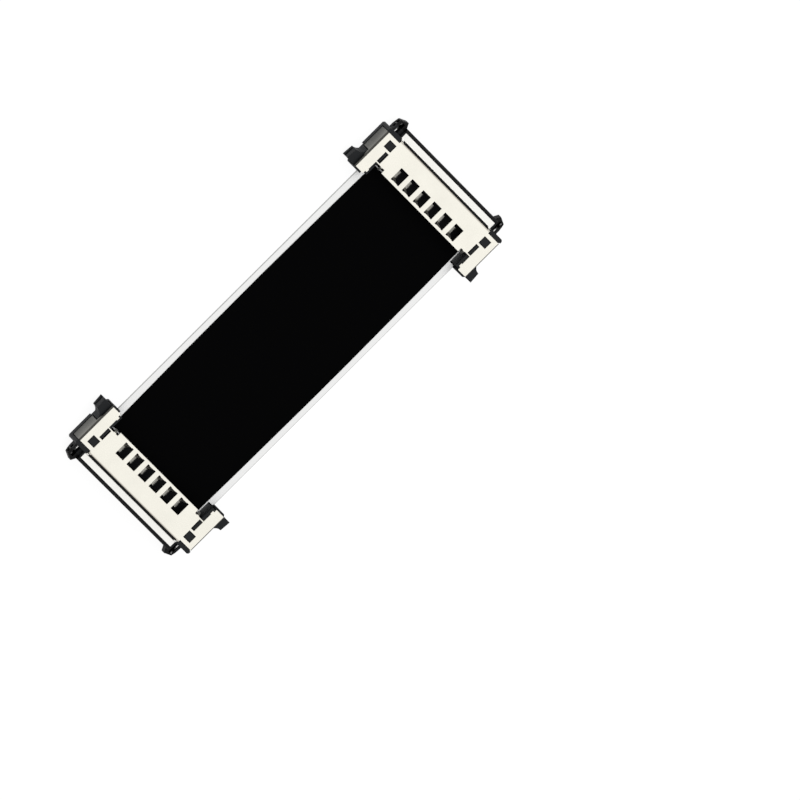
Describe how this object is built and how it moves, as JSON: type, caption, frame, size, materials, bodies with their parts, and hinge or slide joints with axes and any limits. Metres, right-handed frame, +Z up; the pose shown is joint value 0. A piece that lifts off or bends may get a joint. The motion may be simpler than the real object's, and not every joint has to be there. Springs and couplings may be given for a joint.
{
  "type": "flat flex cable",
  "caption": "Short flat flex jumper cable with a shielded plug at each end, each with a metal cover, a row of gold contacts and spring latches with side release buttons.",
  "frame": {"origin": "middle of the cable, on the plane that its two plugs stand on", "axes": "+X along the cable towards plug b, +Y across it, +Z up out of the shell covers"},
  "size_m": [0.0864, 0.0362, 0.0041],
  "materials": {
    "housing": "satin",
    "button": "satin",
    "gold": "gold plated",
    "tin_plate": "matt tin plating",
    "spring_steel": "bright",
    "stiffener": "matte",
    "base_film": "satin",
    "cover_film": "satin",
    "copper": "tinned copper",
    "tape": "matte"
  },
  "bodies": {
    "cable": {"housing_a": "housing", "contacts_a": "gold", "shell_cover_a": "tin_plate", "ground_plate_a": "tin_plate", "stiffener_a": "stiffener", "housing_b": "housing", "contacts_b": "gold", "shell_cover_b": "tin_plate", "ground_plate_b": "tin_plate", "stiffener_b": "stiffener", "film_bottom": "base_film", "film_top": "cover_film", "conductors": "copper", "black_tape": "tape"},
    "latch_left_a": {"lock_spring_left_a": "spring_steel", "release_button_left_a": "button"},
    "latch_right_a": {"lock_spring_right_a": "spring_steel", "release_button_right_a": "button"},
    "latch_left_b": {"lock_spring_left_b": "spring_steel", "release_button_left_b": "button"},
    "latch_right_b": {"lock_spring_right_b": "spring_steel", "release_button_right_b": "button"}
  },
  "joints": [
    {"name": "press_left_a", "type": "slide", "parent": "cable", "child": "latch_left_a", "axis": [0, 1, 0], "range_m": [0, 0.0004], "stiffness_N_per_m": 2000},
    {"name": "press_right_a", "type": "slide", "parent": "cable", "child": "latch_right_a", "axis": [0, -1, 0], "range_m": [0, 0.0004], "stiffness_N_per_m": 2000},
    {"name": "press_left_b", "type": "slide", "parent": "cable", "child": "latch_left_b", "axis": [0, -1, 0], "range_m": [0, 0.0004], "stiffness_N_per_m": 2000},
    {"name": "press_right_b", "type": "slide", "parent": "cable", "child": "latch_right_b", "axis": [0, 1, 0], "range_m": [0, 0.0004], "stiffness_N_per_m": 2000}
  ]
}
